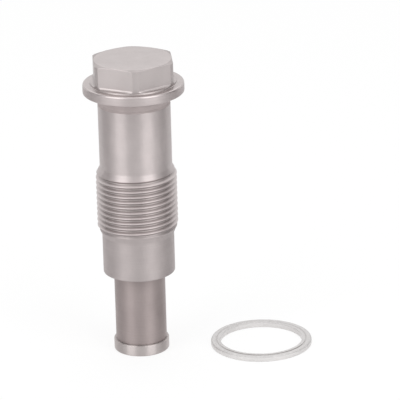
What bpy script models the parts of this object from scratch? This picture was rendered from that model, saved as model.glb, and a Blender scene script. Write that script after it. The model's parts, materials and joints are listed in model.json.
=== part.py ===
"""A screw-in hydraulic timing chain tensioner, standing on the foot of its plunger.

Every turned piece shares the tensioner's own axis, which is the world's Z axis. The plunger is
fully out, its foot is at height zero, and the flat sealing ring lies beside it on the same level.
"""

import math

import bmesh
import bpy

# Lengths are in metres and angles in radians.

# Gaps between pieces
SEAT_GAP = 0.0003
RUNNING_CLEARANCE = 0.00004
PRESS_CLEARANCE = 0.00005
STROKE_ROOM = 0.0005

# Plunger and the ring on its foot
SPIGOT_STEP = 0.00095
PLUNGER_WALL = 0.00175
PLUNGER_FLOOR = 0.0042
PLUNGER_EDGE = 0.0003
FOOT_RING_STEP = 0.0006
FOOT_RING_HEIGHT = 0.0031
FOOT_RING_CHAMFER = 0.0003
FOOT_RING_EDGE = 0.00015

# Bores inside the housing
GUIDE_STEP = 0.00055
BORE_DEPTH = 0.0382
BORE_MOUTH_CHAMFER = 0.0004
VALVE_LEDGE = 0.002
RESERVOIR_DEPTH = 0.0105
DRILL_POINT_ANGLE = math.radians(118)
FEED_HOLE_RADIUS = 0.0015
FEED_HOLE_RISE = 0.0055

# Outside of the housing, from its nose up to its flange
NOSE_HEIGHT = 0.02285
NOSE_WALL = 0.00228
NOSE_LENGTH = 0.01095
NOSE_EDGE = 0.0002
THREAD_LEAD_LENGTH = 0.0027
THREAD_LENGTH = 0.0145
THREAD_RUN_OUT_LENGTH = 0.00215
THREAD_RISE = 0.00116
THREAD_PITCH = 0.0015
THREAD_RUN_IN = 0.0018
UPPER_WALL = 0.00232
UPPER_BODY_LENGTH = 0.02085
RELIEF_WIDTH = 0.0033
RELIEF_DEPTH = 0.0003
RELIEF_RUN_OUT = 0.0006

# Flange and hexagon head
FLANGE_RIM = 0.00199
FLANGE_THICKNESS = 0.0027
FLANGE_EDGE = 0.0005
HEX_ACROSS_FLATS = 0.021
HEX_CORNER_TRIM = 0.00043
HEX_STEP_HEIGHT = 0.0004
HEX_HEIGHT = 0.0062
HEX_CHAMFER_WIDTH = 0.00139
HEX_CHAMFER_ANGLE = math.radians(15)

# Stop ring in its groove at the nose
STOP_WIRE_RADIUS = 0.0006
STOP_RING_PLAY = 0.00015
STOP_GROOVE_INSET = 0.0022
STOP_RING_OPENING = math.radians(40)

# Plunger spring and the volume reducer inside it
SPRING_WIRE_RADIUS = 0.0007
SPRING_TURNS = 13
SPRING_SIDE_PLAY = 0.0003
SPRING_END_GAP = 0.00025
REDUCER_FLANGE_THICKNESS = 0.0008
REDUCER_SIDE_PLAY = 0.00035
REDUCER_EDGE = 0.0006
REDUCER_SLOT_WIDTH = 0.0012
REDUCER_SLOT_DEPTH = 0.0011

# Check valve
SEAT_THICKNESS = 0.0027
SEAT_HOLE_RADIUS = 0.0013
SEAT_CONE_DEPTH = 0.001
BALL_RADIUS = 0.002
CAGE_WALL = 0.0005
CAGE_SIDE_PLAY = 0.00025
CAGE_SPRING_PLAY = 0.00075
CAGE_FLANGE_PLAY = 0.0002
CAGE_WINDOW_WIDTH = 0.0016
CAGE_WINDOW_MARGIN = 0.0009
CHECK_WIRE_RADIUS = 0.00015
CHECK_SPRING_LENGTH = 0.00196
CHECK_SPRING_TURNS = 3.5
CHECK_SPRING_TOP_RADIUS = 0.001
CHECK_SPRING_SPREAD = 0.0007

# Sealing ring, rolled from sheet with its seam on top, lying beside the plunger's foot
SEAL_PLAY = 0.00025
SEAL_WIDTH = 0.00262
SEAL_THICKNESS = 0.0015
SEAL_EDGE = 0.00015
SEAL_LIP_WIDTH = 0.0009
SEAL_SEAM_WIDTH = 0.0003
SEAL_SEAM_DEPTH = 0.00025
SEAL_TOP_ROUNDING = 0.0006
SEAL_FOOT_ROUNDING = 0.0003
SEAL_DISTANCE = 0.0329
SEAL_BEARING = math.radians(-3.4)

# Fineness of the round shapes
FULL_TURN = 2 * math.pi
TURNED_STEPS = 48
SMALL_STEPS = 24
HOLE_STEPS = 16
COIL_STEPS = 12
ROUNDING_STEPS = 3
BALL_RINGS = 12
WIRE_RESOLUTION = 1
SHARP_ANGLE = math.radians(28)
MERGE_DISTANCE = 0.000001
CUT_MARGIN = 0.002
THREAD_CUT_MARGIN = 0.00008

# Radii that follow from the sizes above, from the check ball outwards
CAGE_INNER_RADIUS = BALL_RADIUS + CAGE_SIDE_PLAY
SPRING_INNER_RADIUS = CAGE_INNER_RADIUS + CAGE_WALL + CAGE_SPRING_PLAY
SPRING_RADIUS = SPRING_INNER_RADIUS + SPRING_WIRE_RADIUS
PLUNGER_BORE_RADIUS = SPRING_RADIUS + SPRING_WIRE_RADIUS + SPRING_SIDE_PLAY
CAGE_FLANGE_RADIUS = PLUNGER_BORE_RADIUS - CAGE_FLANGE_PLAY
SHANK_RADIUS = PLUNGER_BORE_RADIUS + PLUNGER_WALL
SPIGOT_RADIUS = SHANK_RADIUS - SPIGOT_STEP
FOOT_RING_RADIUS = SHANK_RADIUS + FOOT_RING_STEP
STOP_RING_RADIUS = SHANK_RADIUS + STOP_RING_PLAY + STOP_WIRE_RADIUS
BORE_RADIUS = SHANK_RADIUS + GUIDE_STEP
RESERVOIR_RADIUS = BORE_RADIUS - VALVE_LEDGE
NOSE_RADIUS = BORE_RADIUS + NOSE_WALL
UPPER_BODY_RADIUS = BORE_RADIUS + UPPER_WALL
THREAD_RADIUS = UPPER_BODY_RADIUS + THREAD_RISE
HEX_CORNER_RADIUS = HEX_ACROSS_FLATS / 2 / math.cos(math.pi / 6)
HEX_BLANK_RADIUS = HEX_CORNER_RADIUS - HEX_CORNER_TRIM
FLANGE_RADIUS = HEX_BLANK_RADIUS + FLANGE_RIM
SEAL_INNER_RADIUS = THREAD_RADIUS + SEAL_PLAY
SEAL_OUTER_RADIUS = SEAL_INNER_RADIUS + SEAL_WIDTH

# Heights that follow from the sizes above
LEAD_BOTTOM = NOSE_HEIGHT + NOSE_LENGTH
THREAD_BOTTOM = LEAD_BOTTOM + THREAD_LEAD_LENGTH
THREAD_TOP = THREAD_BOTTOM + THREAD_LENGTH
UPPER_BODY_BOTTOM = THREAD_TOP + THREAD_RUN_OUT_LENGTH
FLANGE_SEAT = UPPER_BODY_BOTTOM + UPPER_BODY_LENGTH
FLANGE_TOP = FLANGE_SEAT + FLANGE_THICKNESS
HEX_BOTTOM = FLANGE_TOP + HEX_STEP_HEIGHT
HEAD_TOP = HEX_BOTTOM + HEX_HEIGHT
STOP_RING_HEIGHT = NOSE_HEIGHT + STOP_GROOVE_INSET
VALVE_SHOULDER = NOSE_HEIGHT + BORE_DEPTH
SEAT_BOTTOM = VALVE_SHOULDER - SEAT_GAP - SEAT_THICKNESS
SEAT_CONE_APEX = SEAT_BOTTOM + SEAT_CONE_DEPTH + SEAT_HOLE_RADIUS
BALL_HEIGHT = SEAT_CONE_APEX - (BALL_RADIUS + SEAT_GAP) * math.sqrt(2)
BALL_REACH = BALL_RADIUS + SEAT_GAP + CHECK_WIRE_RADIUS
CHECK_SPRING_TOP = BALL_HEIGHT - math.sqrt(BALL_REACH**2 - CHECK_SPRING_TOP_RADIUS**2)
CHECK_SPRING_BOTTOM = CHECK_SPRING_TOP + CHECK_WIRE_RADIUS - CHECK_SPRING_LENGTH
CAGE_TOP = SEAT_BOTTOM - SEAT_GAP
CAGE_FLOOR = CHECK_SPRING_BOTTOM - SEAT_GAP
STROKE = NOSE_HEIGHT - FOOT_RING_HEIGHT - SEAT_GAP
SPRING_TOP = CAGE_TOP - CAGE_WALL - SEAT_GAP
PLUNGER_TOP = CAGE_TOP - CAGE_WALL - STROKE_ROOM - STROKE
REDUCER_BOTTOM = PLUNGER_FLOOR + SEAT_GAP
REDUCER_TOP = CAGE_FLOOR - CAGE_WALL - STROKE_ROOM - STROKE
SPRING_BOTTOM = REDUCER_BOTTOM + REDUCER_FLANGE_THICKNESS + SEAT_GAP


def clear_scene():
    for item in list(bpy.data.objects):
        bpy.data.objects.remove(item, do_unlink=True)


def new_collection(name):
    collection = bpy.data.collections.new(name)
    bpy.context.scene.collection.children.link(collection)
    return collection


def new_material(name, colour, roughness, metallic):
    material = bpy.data.materials.new(name)
    material.use_nodes = True
    shader = material.node_tree.nodes["Principled BSDF"]
    shader.inputs["Base Color"].default_value = (*colour, 1)
    shader.inputs["Roughness"].default_value = roughness
    shader.inputs["Metallic"].default_value = metallic
    material.diffuse_color = (*colour, 1)
    return material


def new_empty(name, collection, parent=None, height=0.0):
    empty = bpy.data.objects.new(name, None)
    empty.empty_display_size = BORE_RADIUS
    empty.location.z = height
    empty.parent = parent
    collection.objects.link(empty)
    return empty


def new_object(name, data, collection, location=(0, 0, 0)):
    item = bpy.data.objects.new(name, data)
    item.location = location
    collection.objects.link(item)
    return item


def turned(name, outline, collection, steps=TURNED_STEPS, location=(0, 0, 0)):
    """Turns an outline of (radius, height) points, which runs down its outer side, about Z.

    An outline that doesn't start on the axis is a ring's section, and closes on itself.
    """
    mesh = bpy.data.meshes.new(name)
    points = [(radius, 0, height) for radius, height in outline]
    edges = [(index, index + 1) for index in range(len(points) - 1)]
    if outline[0][0] > 0:
        edges.append((len(points) - 1, 0))
    mesh.from_pydata(points, edges, [])
    item = new_object(name, mesh, collection, location)
    turn = item.modifiers.new("turn", "SCREW")
    turn.axis = "Z"
    turn.angle = FULL_TURN
    turn.steps = steps
    turn.render_steps = steps
    turn.use_merge_vertices = True
    turn.merge_threshold = MERGE_DISTANCE
    return item


def rounding(middle, radius, start, end):
    """Points of a rounded corner of an outline, from one angle about its middle to another."""
    points = []
    for index in range(ROUNDING_STEPS + 1):
        angle = start + (end - start) * index / ROUNDING_STEPS
        points.append((middle[0] + radius * math.cos(angle), middle[1] + radius * math.sin(angle)))
    return points


def wire(name, points, radius, collection, location=(0, 0, 0)):
    """A round wire with closed ends along the given points."""
    curve = bpy.data.curves.new(name, "CURVE")
    curve.dimensions = "3D"
    curve.bevel_depth = radius
    curve.bevel_resolution = WIRE_RESOLUTION
    curve.use_fill_caps = True
    spline = curve.splines.new("POLY")
    spline.points.add(len(points) - 1)
    for spot, point in zip(spline.points, points):
        spot.co = (*point, 1)
    return new_object(name, curve, collection, location)


def coil_points(turns, height, low_radius, high_radius, end_pitch=None):
    """Points up a coil. With an end pitch, its first and last turns are wound close."""
    low_turn = 1 if end_pitch else 0
    high_turn = turns - low_turn
    end_rise = end_pitch or 0
    pitch = (height - 2 * low_turn * end_rise) / (high_turn - low_turn)
    count = round(turns * COIL_STEPS)
    points = []
    for index in range(count + 1):
        turn = turns * index / count
        open_turns = min(max(turn, low_turn), high_turn) - low_turn
        close_turns = turn - open_turns
        radius = low_radius + (high_radius - low_radius) * turn / turns
        angle = FULL_TURN * turn
        rise = open_turns * pitch + close_turns * end_rise
        points.append((radius * math.cos(angle), radius * math.sin(angle), rise))
    return points


def as_cutter(item):
    item.hide_render = True
    item.display_type = "WIRE"
    return item


def box_cutter(name, size, collection, location):
    mesh = bpy.data.meshes.new(name)
    cube = bmesh.new()
    bmesh.ops.create_cube(cube, size=1)
    bmesh.ops.scale(cube, vec=size, verts=cube.verts)
    cube.to_mesh(mesh)
    cube.free()
    return as_cutter(new_object(name, mesh, collection, location))


def prism_cutter(name, sides, radius, length, collection, location, rotation=(0, 0, 0)):
    """A prism or a cylinder along its own Z axis, centred on its place."""
    mesh = bpy.data.meshes.new(name)
    prism = bmesh.new()
    bmesh.ops.create_cone(
        prism, cap_ends=True, segments=sides, radius1=radius, radius2=radius, depth=length
    )
    prism.to_mesh(mesh)
    prism.free()
    cutter = as_cutter(new_object(name, mesh, collection, location))
    cutter.rotation_euler = rotation
    return cutter


def cut(item, cutter):
    modifier = item.modifiers.new(cutter.name, "BOOLEAN")
    modifier.operation = "DIFFERENCE"
    modifier.solver = "EXACT"
    modifier.object = cutter


def hex_cutter(collection):
    """A thick ring with a hexagonal hole, which mills the flats. A corner faces -Y."""
    height = HEX_HEIGHT + CUT_MARGIN
    middle = HEX_BOTTOM + height / 2
    core = prism_cutter(
        "hex_core", 6, HEX_CORNER_RADIUS, height + CUT_MARGIN, collection, (0, 0, middle)
    )
    outside = FLANGE_RADIUS + CUT_MARGIN
    ring = prism_cutter("hex_cutter", SMALL_STEPS, outside, height, collection, (0, 0, middle))
    cut(ring, core)
    return ring


def thread_cutter(collection):
    """The groove of a sixty degree thread, swept along a helix past both ends of the thread."""
    sharp_depth = THREAD_PITCH * math.cos(math.pi / 6)
    depth = sharp_depth * 5 / 8
    root_radius = THREAD_RADIUS - depth
    outer_radius = THREAD_RADIUS + THREAD_CUT_MARGIN
    root_half = THREAD_PITCH / 8
    outer_half = root_half + (outer_radius - root_radius) * math.tan(math.pi / 6)
    section = [
        (root_radius, 0, root_half),
        (outer_radius, 0, outer_half),
        (outer_radius, 0, -outer_half),
        (root_radius, 0, -root_half),
    ]
    mesh = bpy.data.meshes.new("thread_sweep")
    mesh.from_pydata(section, [(0, 1), (1, 2), (2, 3), (3, 0)], [])
    low = LEAD_BOTTOM - THREAD_RUN_IN
    sweep = new_object("thread_sweep", mesh, collection, (0, 0, low))
    screw = sweep.modifiers.new("screw", "SCREW")
    screw.axis = "Z"
    screw.angle = FULL_TURN
    screw.screw_offset = THREAD_PITCH
    screw.iterations = math.ceil((UPPER_BODY_BOTTOM + THREAD_PITCH - low) / THREAD_PITCH)
    screw.steps = TURNED_STEPS
    screw.render_steps = TURNED_STEPS
    capped = closed_mesh(sweep, fill_ends=True)
    bpy.data.objects.remove(sweep)
    return as_cutter(new_object("thread_cutter", capped, collection, (0, 0, low)))


def closed_mesh(item, fill_ends=False):
    """The item's evaluated shape as one mesh with its seams welded and its faces pointing out."""
    graph = bpy.context.evaluated_depsgraph_get()
    mesh = bpy.data.meshes.new_from_object(item.evaluated_get(graph))
    shape = bmesh.new()
    shape.from_mesh(mesh)
    bmesh.ops.remove_doubles(shape, verts=shape.verts, dist=MERGE_DISTANCE)
    if fill_ends:
        ends = [edge for edge in shape.edges if edge.is_boundary]
        bmesh.ops.holes_fill(shape, edges=ends)
    bmesh.ops.recalc_face_normals(shape, faces=shape.faces)
    shape.to_mesh(mesh)
    shape.free()
    return mesh


def make_housing(parts, cutters):
    hex_drop = HEX_CHAMFER_WIDTH * math.tan(HEX_CHAMFER_ANGLE)
    relief_radius = UPPER_BODY_RADIUS - RELIEF_DEPTH
    relief_bottom = FLANGE_SEAT - RELIEF_WIDTH
    groove_radius = STOP_RING_RADIUS + STOP_WIRE_RADIUS + STOP_RING_PLAY
    groove_half = STOP_WIRE_RADIUS + STOP_RING_PLAY
    reservoir_top = VALVE_SHOULDER + RESERVOIR_DEPTH
    drill_rise = RESERVOIR_RADIUS / math.tan(DRILL_POINT_ANGLE / 2)
    outside = [
        (0, HEAD_TOP),
        (HEX_BLANK_RADIUS - HEX_CHAMFER_WIDTH, HEAD_TOP),
        (HEX_BLANK_RADIUS, HEAD_TOP - hex_drop),
        (HEX_BLANK_RADIUS, FLANGE_TOP),
        (FLANGE_RADIUS - FLANGE_EDGE, FLANGE_TOP),
        (FLANGE_RADIUS, FLANGE_TOP - FLANGE_EDGE),
        (FLANGE_RADIUS, FLANGE_SEAT + FLANGE_EDGE / 2),
        (FLANGE_RADIUS - FLANGE_EDGE / 2, FLANGE_SEAT),
        (relief_radius, FLANGE_SEAT),
        (relief_radius, relief_bottom + RELIEF_RUN_OUT),
        (UPPER_BODY_RADIUS, relief_bottom),
        (UPPER_BODY_RADIUS, UPPER_BODY_BOTTOM),
        (THREAD_RADIUS, THREAD_TOP),
        (THREAD_RADIUS, THREAD_BOTTOM),
        (NOSE_RADIUS, LEAD_BOTTOM),
        (NOSE_RADIUS, NOSE_HEIGHT + NOSE_EDGE),
        (NOSE_RADIUS - NOSE_EDGE, NOSE_HEIGHT),
    ]
    inside = [
        (BORE_RADIUS + BORE_MOUTH_CHAMFER, NOSE_HEIGHT),
        (BORE_RADIUS, NOSE_HEIGHT + BORE_MOUTH_CHAMFER),
        (BORE_RADIUS, STOP_RING_HEIGHT - groove_half),
        (groove_radius, STOP_RING_HEIGHT - groove_half),
        (groove_radius, STOP_RING_HEIGHT + groove_half),
        (BORE_RADIUS, STOP_RING_HEIGHT + groove_half),
        (BORE_RADIUS, VALVE_SHOULDER),
        (RESERVOIR_RADIUS, VALVE_SHOULDER),
        (RESERVOIR_RADIUS, reservoir_top),
        (0, reservoir_top + drill_rise),
    ]
    housing = turned("housing", outside + inside, parts)
    cut(housing, hex_cutter(cutters))
    cut(housing, thread_cutter(cutters))
    feed_length = UPPER_BODY_RADIUS + CUT_MARGIN
    feed_hole = prism_cutter(
        "feed_hole",
        HOLE_STEPS,
        FEED_HOLE_RADIUS,
        feed_length,
        cutters,
        (0, feed_length / 2, VALVE_SHOULDER + FEED_HOLE_RISE),
        (math.pi / 2, 0, 0),
    )
    cut(housing, feed_hole)
    return housing


def make_stop_ring(parts):
    sweep = FULL_TURN - STOP_RING_OPENING
    start = STOP_RING_OPENING / 2
    points = []
    for index in range(SMALL_STEPS + 1):
        angle = start + sweep * index / SMALL_STEPS
        points.append((STOP_RING_RADIUS * math.cos(angle), STOP_RING_RADIUS * math.sin(angle), 0))
    return wire("stop_ring", points, STOP_WIRE_RADIUS, parts, (0, 0, STOP_RING_HEIGHT))


def make_plunger(parts):
    guide_radius = BORE_RADIUS - RUNNING_CLEARANCE
    guide_bottom = STOP_RING_HEIGHT + STOP_WIRE_RADIUS + SEAT_GAP
    shank_bottom = FOOT_RING_HEIGHT + SEAT_GAP
    outline = [
        (0, PLUNGER_FLOOR),
        (PLUNGER_BORE_RADIUS, PLUNGER_FLOOR),
        (PLUNGER_BORE_RADIUS, PLUNGER_TOP - PLUNGER_EDGE),
        (PLUNGER_BORE_RADIUS + PLUNGER_EDGE, PLUNGER_TOP),
        (guide_radius - PLUNGER_EDGE, PLUNGER_TOP),
        (guide_radius, PLUNGER_TOP - PLUNGER_EDGE),
        (guide_radius, guide_bottom),
        (SHANK_RADIUS, guide_bottom),
        (SHANK_RADIUS, shank_bottom),
        (SPIGOT_RADIUS, shank_bottom),
        (SPIGOT_RADIUS, FOOT_RING_EDGE),
        (SPIGOT_RADIUS - FOOT_RING_EDGE, 0),
        (0, 0),
    ]
    return turned("plunger", outline, parts)


def make_foot_ring(parts):
    inner_radius = SPIGOT_RADIUS + PRESS_CLEARANCE
    outline = [
        (FOOT_RING_RADIUS - FOOT_RING_EDGE, FOOT_RING_HEIGHT),
        (FOOT_RING_RADIUS, FOOT_RING_HEIGHT - FOOT_RING_EDGE),
        (FOOT_RING_RADIUS, FOOT_RING_CHAMFER),
        (FOOT_RING_RADIUS - FOOT_RING_CHAMFER, 0),
        (inner_radius, 0),
        (inner_radius, FOOT_RING_HEIGHT),
    ]
    return turned("foot_ring", outline, parts)


def make_plunger_spring(parts):
    height = SPRING_TOP - SPRING_BOTTOM - 2 * SPRING_WIRE_RADIUS
    end_pitch = 2 * SPRING_WIRE_RADIUS + SPRING_END_GAP
    points = coil_points(SPRING_TURNS, height, SPRING_RADIUS, SPRING_RADIUS, end_pitch)
    place = (0, 0, SPRING_BOTTOM + SPRING_WIRE_RADIUS)
    return wire("plunger_spring", points, SPRING_WIRE_RADIUS, parts, place)


def make_volume_reducer(parts, cutters):
    stem_radius = SPRING_INNER_RADIUS - REDUCER_SIDE_PLAY
    flange_radius = PLUNGER_BORE_RADIUS - SPRING_SIDE_PLAY
    length = REDUCER_TOP - REDUCER_BOTTOM
    outline = [
        (0, length),
        (stem_radius - REDUCER_EDGE, length),
        (stem_radius, length - REDUCER_EDGE),
        (stem_radius, REDUCER_FLANGE_THICKNESS),
        (flange_radius, REDUCER_FLANGE_THICKNESS),
        (flange_radius, 0),
        (0, 0),
    ]
    reducer = turned("volume_reducer", outline, parts, SMALL_STEPS, (0, 0, REDUCER_BOTTOM))
    slot_floor = stem_radius - REDUCER_SLOT_DEPTH
    slot_reach = flange_radius + CUT_MARGIN - slot_floor
    slot = box_cutter(
        "reducer_slot",
        (REDUCER_SLOT_WIDTH, slot_reach, length + CUT_MARGIN),
        cutters,
        (0, slot_floor + slot_reach / 2, REDUCER_BOTTOM + length / 2),
    )
    cut(reducer, slot)
    return reducer


def make_valve_seat(parts):
    radius = BORE_RADIUS - PRESS_CLEARANCE
    outline = [
        (radius - SEAT_GAP, SEAT_THICKNESS),
        (radius, SEAT_THICKNESS - SEAT_GAP),
        (radius, 0),
        (SEAT_HOLE_RADIUS + SEAT_CONE_DEPTH, 0),
        (SEAT_HOLE_RADIUS, SEAT_CONE_DEPTH),
        (SEAT_HOLE_RADIUS, SEAT_THICKNESS),
    ]
    return turned("valve_seat", outline, parts, TURNED_STEPS, (0, 0, SEAT_BOTTOM))


def make_ball_cage(parts, cutters):
    depth = CAGE_TOP - CAGE_FLOOR
    outer_radius = CAGE_INNER_RADIUS + CAGE_WALL
    outline = [
        (0, 0),
        (CAGE_INNER_RADIUS, 0),
        (CAGE_INNER_RADIUS, depth),
        (CAGE_FLANGE_RADIUS, depth),
        (CAGE_FLANGE_RADIUS, depth - CAGE_WALL),
        (outer_radius, depth - CAGE_WALL),
        (outer_radius, -CAGE_WALL),
        (0, -CAGE_WALL),
    ]
    cage = turned("ball_cage", outline, parts, SMALL_STEPS, (0, 0, CAGE_FLOOR))
    window_height = depth - CAGE_WALL - 2 * CAGE_WINDOW_MARGIN
    middle = CAGE_FLOOR + CAGE_WINDOW_MARGIN + window_height / 2
    reach = 2 * (outer_radius + CUT_MARGIN)
    sizes = {
        "cage_window_x": (reach, CAGE_WINDOW_WIDTH, window_height),
        "cage_window_y": (CAGE_WINDOW_WIDTH, reach, window_height),
    }
    for name, size in sizes.items():
        cut(cage, box_cutter(name, size, cutters, (0, 0, middle)))
    return cage


def make_check_ball(parts):
    mesh = bpy.data.meshes.new("check_ball")
    sphere = bmesh.new()
    bmesh.ops.create_uvsphere(
        sphere, u_segments=SMALL_STEPS, v_segments=BALL_RINGS, radius=BALL_RADIUS
    )
    sphere.to_mesh(mesh)
    sphere.free()
    return new_object("check_ball", mesh, parts)


def make_check_spring(parts):
    height = CHECK_SPRING_LENGTH - 2 * CHECK_WIRE_RADIUS
    foot_radius = CHECK_SPRING_TOP_RADIUS + CHECK_SPRING_SPREAD
    points = coil_points(CHECK_SPRING_TURNS, height, foot_radius, CHECK_SPRING_TOP_RADIUS)
    place = (0, 0, CHECK_SPRING_BOTTOM + CHECK_WIRE_RADIUS)
    return wire("check_spring", points, CHECK_WIRE_RADIUS, parts, place)


def make_seal_ring(parts):
    seam_radius = SEAL_INNER_RADIUS + SEAL_LIP_WIDTH + SEAL_SEAM_WIDTH / 2
    top_middle = (SEAL_OUTER_RADIUS - SEAL_TOP_ROUNDING, SEAL_THICKNESS - SEAL_TOP_ROUNDING)
    foot_middle = (SEAL_OUTER_RADIUS - SEAL_FOOT_ROUNDING, SEAL_FOOT_ROUNDING)
    outline = [
        (seam_radius, SEAL_THICKNESS - SEAL_SEAM_DEPTH),
        (seam_radius + SEAL_SEAM_WIDTH / 2, SEAL_THICKNESS),
        *rounding(top_middle, SEAL_TOP_ROUNDING, math.pi / 2, 0),
        *rounding(foot_middle, SEAL_FOOT_ROUNDING, 0, -math.pi / 2),
        (SEAL_INNER_RADIUS + SEAL_EDGE, 0),
        (SEAL_INNER_RADIUS, SEAL_EDGE),
        (SEAL_INNER_RADIUS, SEAL_THICKNESS - SEAL_EDGE),
        (SEAL_INNER_RADIUS + SEAL_EDGE, SEAL_THICKNESS),
        (seam_radius - SEAL_SEAM_WIDTH / 2, SEAL_THICKNESS),
    ]
    place = (SEAL_DISTANCE * math.cos(SEAL_BEARING), SEAL_DISTANCE * math.sin(SEAL_BEARING), 0)
    return turned("seal_ring", outline, parts, TURNED_STEPS, place)


def settled(item, material, parent, collection):
    """Replaces the item by its final mesh, shaded round with sharp edges."""
    mesh = closed_mesh(item)
    mesh.materials.clear()
    mesh.materials.append(material)
    mesh.shade_smooth()
    mesh.set_sharp_from_angle(angle=SHARP_ANGLE)
    name = item.name
    location = item.location.copy()
    bpy.data.objects.remove(item)
    mesh.name = name
    piece = new_object(name, mesh, collection, location)
    piece.parent = parent
    return piece


def main():
    clear_scene()
    parts = new_collection("timing_chain_tensioner")
    cutters = new_collection("cutters")

    axis = new_empty("tensioner_axis", parts)
    slide = new_empty("plunger_slide", parts, axis)
    lift = new_empty("check_ball_lift", parts, axis, BALL_HEIGHT)

    turned_steel = ((0.52, 0.49, 0.48), 0.32, 1.0)
    worn_steel = ((0.40, 0.37, 0.36), 0.38, 1.0)
    bright_steel = ((0.66, 0.63, 0.62), 0.22, 1.0)
    spring_steel = ((0.30, 0.30, 0.31), 0.30, 1.0)
    soft_aluminium = ((0.78, 0.78, 0.77), 0.35, 1.0)
    nylon = ((0.10, 0.10, 0.10), 0.50, 0.0)

    pieces = [
        (make_housing(parts, cutters), axis, turned_steel),
        (make_stop_ring(parts), axis, spring_steel),
        (make_plunger(parts), slide, worn_steel),
        (make_foot_ring(parts), slide, bright_steel),
        (make_volume_reducer(parts, cutters), slide, nylon),
        (make_plunger_spring(parts), axis, spring_steel),
        (make_valve_seat(parts), axis, bright_steel),
        (make_ball_cage(parts, cutters), axis, bright_steel),
        (make_check_spring(parts), axis, spring_steel),
        (make_check_ball(parts), lift, bright_steel),
        (make_seal_ring(parts), axis, soft_aluminium),
    ]
    for item, parent, finish in pieces:
        material = new_material(item.name + "_finish", *finish)
        settled(item, material, parent, parts)


main()
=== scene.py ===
"""Dresses the screw-in hydraulic timing chain tensioner around its fixed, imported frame.

Lengths are in metres. Every turned piece shares the Z axis, apart from the flat sealing ring.
"""

import json
import math

import bmesh
import bpy
from bpy.props import FloatProperty, FloatVectorProperty, IntProperty, PointerProperty
from bpy.types import Operator, Panel, PropertyGroup
from mathutils import Matrix, Vector


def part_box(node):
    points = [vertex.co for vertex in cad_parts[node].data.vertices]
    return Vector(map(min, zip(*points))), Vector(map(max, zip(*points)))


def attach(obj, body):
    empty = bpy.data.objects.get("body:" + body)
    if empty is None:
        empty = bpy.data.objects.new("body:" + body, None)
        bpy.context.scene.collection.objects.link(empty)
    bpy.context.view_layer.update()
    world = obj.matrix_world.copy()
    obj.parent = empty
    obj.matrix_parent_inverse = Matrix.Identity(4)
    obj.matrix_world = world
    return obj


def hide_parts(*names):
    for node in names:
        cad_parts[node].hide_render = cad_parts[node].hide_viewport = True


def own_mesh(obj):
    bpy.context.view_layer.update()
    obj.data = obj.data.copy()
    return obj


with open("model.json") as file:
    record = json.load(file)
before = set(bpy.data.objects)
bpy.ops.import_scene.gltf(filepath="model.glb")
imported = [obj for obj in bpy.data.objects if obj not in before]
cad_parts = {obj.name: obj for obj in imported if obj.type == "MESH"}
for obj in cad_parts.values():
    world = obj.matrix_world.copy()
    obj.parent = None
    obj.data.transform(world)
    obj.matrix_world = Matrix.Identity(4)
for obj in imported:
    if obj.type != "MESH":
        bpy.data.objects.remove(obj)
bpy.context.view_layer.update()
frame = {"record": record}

bl_info = {
    "name": "Timing Chain Tensioner",
    "version": (1, 0, 0),
    "blender": (4, 5, 0),
    "location": "3D View > Sidebar > Tensioner",
    "description": "Builds the finished surfaces of a screw-in hydraulic timing chain tensioner",
    "category": "Object",
}

FULL_TURN = 2 * math.pi


# Properties

def length(name, description, default):
    return FloatProperty(
        name=name, description=description, default=default, min=0, precision=5, unit="LENGTH"
    )


def angle(name, description, degrees):
    return FloatProperty(
        name=name, description=description, default=math.radians(degrees), subtype="ANGLE"
    )


def colour(name, description, default):
    return FloatVectorProperty(
        name=name, description=description, default=default, size=3, min=0, max=1, subtype="COLOR"
    )


def amount(name, description, default):
    return FloatProperty(name=name, description=description, default=default, min=0)


class HousingSizes(PropertyGroup):
    bore: length("Bore radius", "Radius of the plunger's bore", 0.0075)
    bore_depth: length("Bore depth", "From the nose to the check valve's shoulder", 0.0382)
    reservoir: length("Reservoir radius", "Radius of the oil space behind the valve", 0.0055)
    reservoir_depth: length("Reservoir depth", "Depth of the oil space", 0.0105)
    nose: length("Nose radius", "Radius of the smooth nose", 0.00978)
    nose_length: length("Nose length", "Height of the smooth nose", 0.01095)
    lead: length("Thread lead", "Height of the cone that leads into the thread", 0.0027)
    thread: length("Thread radius", "Radius over the thread's crests", 0.01098)
    thread_length: length("Thread length", "Height of the full thread", 0.0145)
    pitch: length("Thread pitch", "Rise of one turn of the thread", 0.0015)
    run_out: length("Run-out", "Height of the cone above the thread", 0.00215)
    upper: length("Body radius", "Radius of the smooth body above the thread", 0.00982)
    upper_length: length("Body length", "From the run-out to the flange", 0.02085)
    relief_width: length("Relief width", "Height of the relief under the flange", 0.0033)
    relief_depth: length("Relief depth", "Depth of the relief under the flange", 0.0003)
    flange_thickness: length("Flange thickness", "Height of the flange's rim", 0.0027)
    across_flats: length("Across flats", "Width of the hexagon", 0.021)
    blank: length("Blank radius", "Radius that the hexagon is milled from", 0.011694)
    step: length("Hexagon step", "Height of the round step under the flats", 0.0004)
    chamfer: length("Chamfer width", "Radial width of the head's chamfer", 0.00139)
    chamfer_angle: angle("Chamfer angle", "Slope of the head's chamfer", 13)
    fillet: length("Fillet", "Fillet between the flats and their step", 0.00062)
    feed_hole: length("Feed hole radius", "Radius of the oil feed hole", 0.0015)


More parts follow.
